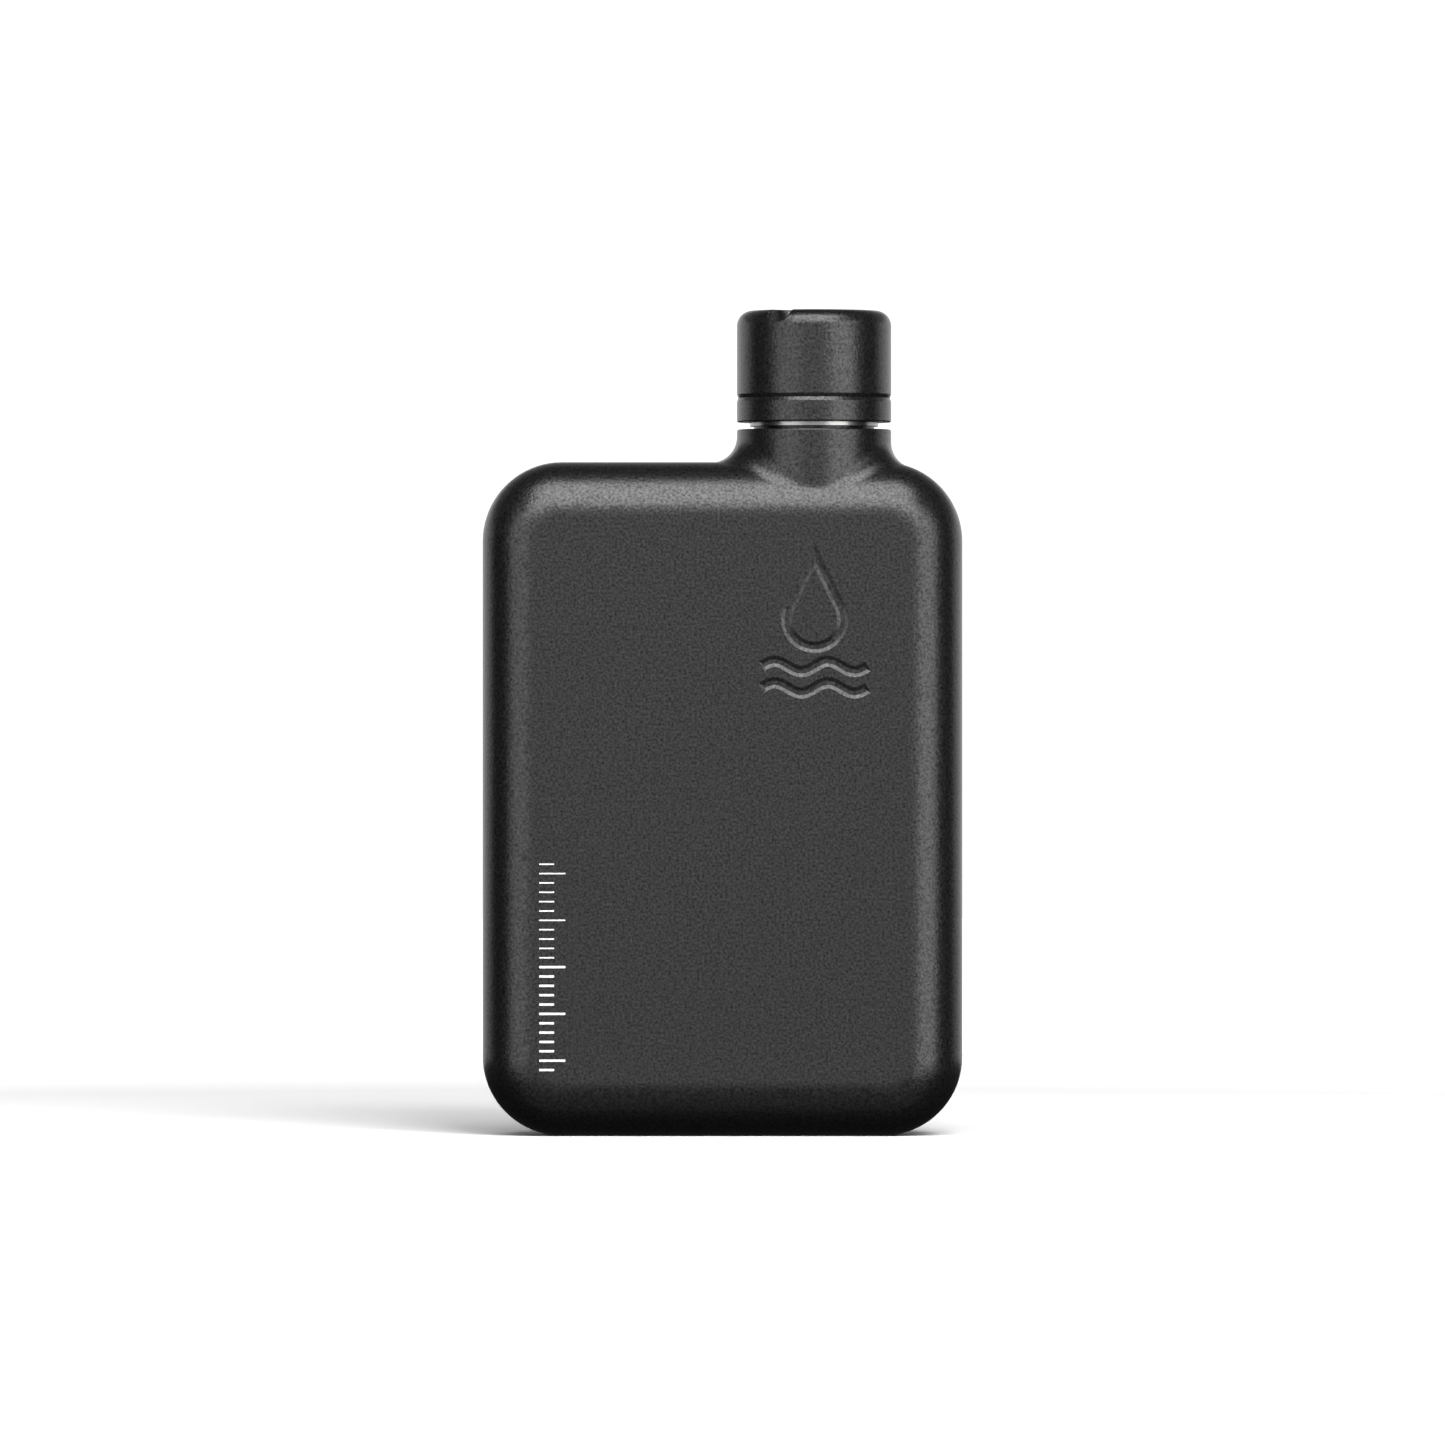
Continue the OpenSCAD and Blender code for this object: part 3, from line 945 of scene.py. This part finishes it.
def cut_notch(shell):
    """Lowers the rim's points to the floor of a round-ended channel, and rounds its outer lip."""
    c = cap()
    top = CAP_HIGH[2]
    ahead = Vector((-math.sin(c.notch_turn), -math.cos(c.notch_turn)))
    aside = Vector((-ahead.y, ahead.x))
    inner_end = COLLAR_R - c.notch_in
    margin = 1.3 * c.notch_r

    def on_channel(point):
        """How far a point lies along the channel, and how far beside its middle."""
        flat = Vector((point.x - NECK_X, point.y))
        return flat.dot(ahead), abs(flat.dot(aside))

    def near(middle, face):
        along, beside = on_channel(middle)
        beyond = along > inner_end - margin * c.notch_slope
        return beyond and beside < margin and middle.z > top - c.edge_r

    edit()
    pick("faces", near)
    bpy.ops.mesh.subdivide(number_cuts=3)
    edit(False)
    for vertex in shell.data.vertices:
        along, beside = on_channel(vertex.co)
        # The round end is drawn out a little, so that it slopes up to the flat top.
        out = math.hypot(beside, min(along - inner_end, 0) / c.notch_slope)
        if out < c.notch_r:
            floor = top - math.sqrt(c.notch_r**2 - out**2)
            vertex.co.z = min(vertex.co.z, floor)

    def on_lip(point, vertex):
        along, beside = on_channel(point)
        level = top - c.notch_r - c.notch_soft < point.z < top - c.notch_soft / 2
        return along > COLLAR_R - c.edge_r and beside < c.notch_r + c.notch_soft and level

    edit()
    pick("verts", on_lip)
    bpy.ops.mesh.vertices_smooth(factor=0.5, repeat=120)
    edit(False)


class FLASK_OT_cap_band(Operator):
    """Builds the painted band at the foot of the cap"""

    bl_idname = "flask.cap_band"
    bl_label = "Cap band"

    def execute(self, context):
        c = cap()
        foot, groove = BAND_LOW[2], BAND_HIGH[2]
        lip_r = neck().ring_r + SKIRT_GAP
        inner = COLLAR_R - c.wall
        profile = rounded([
            (lip_r, foot, 0.15 * MM),
            (COLLAR_R, foot, 0.35 * MM),
            (COLLAR_R, groove - c.groove_h, 0.15 * MM),
            (COLLAR_R - c.groove_d, groove, 0.04 * MM),
            (inner, groove, 0.05 * MM),
            (inner, LINER_LOW[2], 0),
            (lip_r, LINER_LOW[2], 0.1 * MM),
        ])
        band = turned("cap_ring", profile, 256)
        finish_piece(band, "cap", "cap_band", "powder_coat", powder_coat())
        shade(band)
        return {"FINISHED"}


class FLASK_OT_cap_liner(Operator):
    """Builds the cap's plastic liner with its inside thread"""

    bl_idname = "flask.cap_liner"
    bl_label = "Cap liner"

    def execute(self, context):
        n = neck()
        outer = (LINER_HIGH[0] - LINER_LOW[0]) / 2
        root = n.root_r + n.thread_h + n.play
        foot, top, ceiling = LINER_LOW[2], LINER_HIGH[2], SEAL_HIGH[2] + SEAL_PLAY
        gate = 2 * MM  # the flat middle, where the mould is fed
        profile = rounded([
            (gate, ceiling, 0),
            (root, ceiling, 0.15 * MM),
            (root, foot, 0.3 * MM),
            (outer, foot, 0.2 * MM),
            (outer, top, 0.3 * MM),
            (gate, top, 0),
        ])
        liner = turned("liner", profile, 256, closed=False)
        lead_in = n.lead / 4 - n.lead * n.cap_lag / (2 * math.pi)
        z = SPOUT_HIGH[2] - n.below_lip - n.lead * n.spout_turns + lead_in
        for start in (0, math.pi):
            rib = thread("liner_thread", root, True, n.cap_turns, z, start - n.cap_lag)
            carve(liner, rib, "UNION")
        finish_piece(liner, "cap", "cap_liner", "black_plastic", black_plastic())
        shade(liner)
        return {"FINISHED"}


class FLASK_OT_mouth_seal(Operator):
    """Builds the silicone seal that the cap presses on the spout's lip"""

    bl_idname = "flask.mouth_seal"
    bl_label = "Mouth seal"

    def execute(self, context):
        low, high = SEAL_LOW[2], SEAL_HIGH[2]
        outer = (SEAL_HIGH[0] - SEAL_LOW[0]) / 2
        inner = BORE_R - 0.8 * MM
        trough = 0.35 * MM
        profile = rounded([
            (inner, low + trough, 0.2 * MM),
            (BORE_R - 0.1 * MM, low, 0.25 * MM),
            (outer, low, 0.4 * MM),
            (outer, high, 0.4 * MM),
            (inner, high, 0.3 * MM),
        ])
        seal = turned("seal_ring", profile, 192)
        finish_piece(seal, "seal", "mouth_seal", "silicone", milky_silicone())
        shade(seal, 50)
        return {"FINISHED"}


class FLASK_OT_printed_ticks(Operator):
    """Builds the silver ticks printed on the front"""

    bl_idname = "flask.printed_ticks"
    bl_label = "Printed ticks"

    def execute(self, context):
        mesh = frame["nodes"]["printed_ticks"].data
        bpy.ops.object.select_all(action="DESELECT")
        made = []
        for low, high in tick_boxes(mesh):
            size, middle = high - low, (low + high) / 2
            bpy.ops.mesh.primitive_cube_add(size=1, location=middle)
            bar = bpy.context.object
            bar.scale = size
            bpy.ops.object.transform_apply(location=True, scale=True)
            edit()
            pick("edges", lambda m, e: abs((e.verts[0].co - e.verts[1].co).y) > size.y / 2)
            bpy.ops.mesh.bevel(offset=0.3 * size.z, segments=3)
            edit(False)
            made.append(bar)
        alone(made[0])
        for bar in made[1:]:
            bar.select_set(True)
        bpy.ops.object.join()
        ticks = bpy.context.object
        ticks.name = ticks.data.name = "tick_print"
        finish_piece(ticks, "flask", "printed_ticks", "silver_ink", silver_ink())
        return {"FINISHED"}


def tick_boxes(mesh):
    """The boxes of the printed bars, which the node's mesh holds one above another."""
    close = 0.001 * MM
    heights = sorted({round(v.co.z, 6) for v in mesh.vertices})
    boxes = []
    for low_z, high_z in zip(heights[::2], heights[1::2]):
        near = [v.co for v in mesh.vertices if low_z - close <= v.co.z <= high_z + close]
        low = Vector(min(p[i] for p in near) for i in range(3))
        high = Vector(max(p[i] for p in near) for i in range(3))
        boxes.append((low, high))
    return boxes


# ------------------------------------------------------------------------- stage


class FlaskStage(PropertyGroup):
    """The studio: distances of the camera and strengths of its lights."""

    camera_away: length("Camera distance", "Distance of the camera from the flask", 2.9)
    camera_z: length("Camera height", "Height of the camera", 88.7 * MM)
    view_w: length("View width", "Width of the view at the flask", 310.9 * MM)
    key: FloatProperty(name="Right box", description="Brightness of the right softbox", default=3.4)
    fill: FloatProperty(name="Left box", description="Brightness of the left softbox", default=2.0)
    front: FloatProperty(name="Front box", description="Brightness of the front softbox", default=1.02)
    top: FloatProperty(name="Top box", description="Brightness of the top softbox", default=6.4)
    apron: FloatProperty(name="Apron", description="Light from low in front", default=0.17)
    shade: FloatProperty(name="Shadow box", description="Light that throws the shadow", default=29)
    back: FloatProperty(name="Backdrop", description="Brightness of the backdrop", default=1.1)


def stage_settings():
    return bpy.context.scene.flask_stage


def softbox(name, azimuth, elevation, distance, width, height, brightness):
    """A rectangular light that faces the flask. Azimuth is in degrees from the front, towards the
    right, and brightness is the radiance of its face."""
    aim = Vector((0, 0, 90 * MM))
    a, e = math.radians(azimuth), math.radians(elevation)
    way = Vector((math.sin(a) * math.cos(e), -math.cos(a) * math.cos(e), math.sin(e)))
    bpy.ops.object.light_add(type="AREA", location=aim + way * distance)
    light = bpy.context.object
    light.name = name
    light.rotation_euler = (-way).to_track_quat("-Z", "Y").to_euler()
    light.data.shape = "RECTANGLE"
    light.data.size, light.data.size_y = width, height
    light.data.energy = brightness * math.pi * width * height
    light.visible_camera = False
    return light


class FLASK_OT_stage(Operator):
    """Sets up the floor, the backdrop, the lights and the camera"""

    bl_idname = "flask.stage"
    bl_label = "Studio"

    def execute(self, context):
        s = stage_settings()
        scene = context.scene
        scene.view_settings.view_transform = "Standard"
        floor = pale_sheet("floor", 20, (0, 0, 0), 0, floor_material())
        floor.visible_glossy = False
        floor.visible_diffuse = False
        floor.visible_shadow = False
        backdrop = pale_sheet("backdrop", 1, (0, 3.2, 0.55), 90, glow_material(s.back))
        backdrop.scale = (16, 1.5, 1)
        upper = pale_sheet("upper_backdrop", 1, (0, 3.2, 2.3), 90, glow_material(s.back / 4))
        upper.scale = (16, 2.0, 1)
        softbox("right_box", 44, 8, 1.5, 1.05, 1.3, s.key)
        softbox("left_box", -42, 8, 1.5, 1.0, 1.3, s.fill)
        softbox("front_box", 0, 6, 3.3, 3.0, 1.9, s.front)
        softbox("top_box", 0, 52, 1.4, 1.6, 1.4, s.top)
        softbox("apron", 0, -38, 1.6, 3.0, 1.6, s.apron)
        # This one only shades the floor: it doesn't mirror in the flask.
        softbox("shadow_box", 17, 30, 1.5, 0.7, 0.7, s.shade).visible_glossy = False
        scene.world = studio_air()
        bpy.ops.object.camera_add(
            location=(0, -s.camera_away, s.camera_z), rotation=(math.radians(90), 0, 0)
        )
        camera = context.object
        camera.name = "camera"
        camera.data.sensor_width = 36
        camera.data.lens = camera.data.sensor_width * s.camera_away / s.view_w
        camera.data.clip_start, camera.data.clip_end = 0.1, 100
        scene.camera = camera
        return {"FINISHED"}


def studio_air():
    """A world that is white to look at and almost dark as a light."""
    world = bpy.data.worlds.new("studio_air")
    world.use_nodes = True
    nodes, links = world.node_tree.nodes, world.node_tree.links
    air = nodes["Background"]
    air.inputs["Color"].default_value = (1, 1, 1, 1)
    path = nodes.new("ShaderNodeLightPath")
    level = nodes.new("ShaderNodeMapRange")
    level.inputs["To Min"].default_value = 0.03
    level.inputs["To Max"].default_value = 1.1
    links.new(path.outputs["Is Camera Ray"], level.inputs["Value"])
    links.new(level.outputs["Result"], air.inputs["Strength"])
    return world


def pale_sheet(name, size, location, tilt, material):
    """A square sheet, tilted back by that many degrees."""
    bpy.ops.object.select_all(action="DESELECT")
    bpy.ops.mesh.primitive_plane_add(size=size, location=location)
    sheet = bpy.context.object
    sheet.name = name
    sheet.rotation_euler.x = math.radians(tilt)
    sheet.data.materials.append(material)
    return sheet


def floor_material():
    """Pale paper that is lit from below as well, the more so away from the flask."""
    f = Finish("pale_floor", colours().floor, 0.9)
    f.shader.inputs["Specular IOR Level"].default_value = 0.1
    f.shader.inputs["Emission Color"].default_value = (1, 1, 1, 1)
    reach = 0.9
    near = f.nodes.new("ShaderNodeTexGradient")
    near.gradient_type = "SPHERICAL"
    f.links.new(f.moved((0, 0, 0), (reach, reach, reach)), near.inputs["Vector"])
    glow = f.span(near.outputs["Fac"], 1.0, 0.0, (0, 0.6))
    f.links.new(glow, f.shader.inputs["Emission Strength"])
    return f.material


def glow_material(strength):
    """A surface that only glows."""
    material = bpy.data.materials.new("lit_backdrop")
    material.use_nodes = True
    shader = material.node_tree.nodes["Principled BSDF"]
    shader.inputs["Base Color"].default_value = (0, 0, 0, 1)
    shader.inputs["Emission Color"].default_value = (1, 1, 1, 1)
    shader.inputs["Emission Strength"].default_value = strength
    return material


# ------------------------------------------------------------------------- panel and main

PIECES = (
    FLASK_OT_stage,
    FLASK_OT_shells,
    FLASK_OT_spout,
    FLASK_OT_cap_shell,
    FLASK_OT_cap_band,
    FLASK_OT_cap_liner,
    FLASK_OT_mouth_seal,
    FLASK_OT_printed_ticks,
)
GROUPS = {
    "flask_body": FlaskBody,
    "flask_emblem": FlaskEmblem,
    "flask_neck": FlaskNeck,
    "flask_cap": FlaskCap,
    "flask_colours": FlaskColours,
    "flask_stage": FlaskStage,
}


class FLASK_PT_panel(Panel):
    """Lists the flask's pieces and its studio"""

    bl_label = "Slim hip flask"
    bl_space_type = "VIEW_3D"
    bl_region_type = "UI"
    bl_category = "Flask"

    def draw(self, context):
        for piece in PIECES:
            self.layout.operator(piece.bl_idname)
        for group, kind in GROUPS.items():
            box = self.layout.box()
            box.label(text=kind.__name__)
            for name in kind.__annotations__:
                box.prop(getattr(context.scene, group), name)


def register():
    for kind in (*GROUPS.values(), *PIECES, FLASK_PT_panel):
        bpy.utils.register_class(kind)
    for name, kind in GROUPS.items():
        setattr(bpy.types.Scene, name, PointerProperty(type=kind))


def unregister():
    for name in GROUPS:
        delattr(bpy.types.Scene, name)
    for kind in reversed((*GROUPS.values(), *PIECES, FLASK_PT_panel)):
        bpy.utils.unregister_class(kind)


def main():
    register()
    for piece in PIECES:
        group, name = piece.bl_idname.split(".")
        getattr(getattr(bpy.ops, group), name)()


if __name__ == "__main__":
    main()
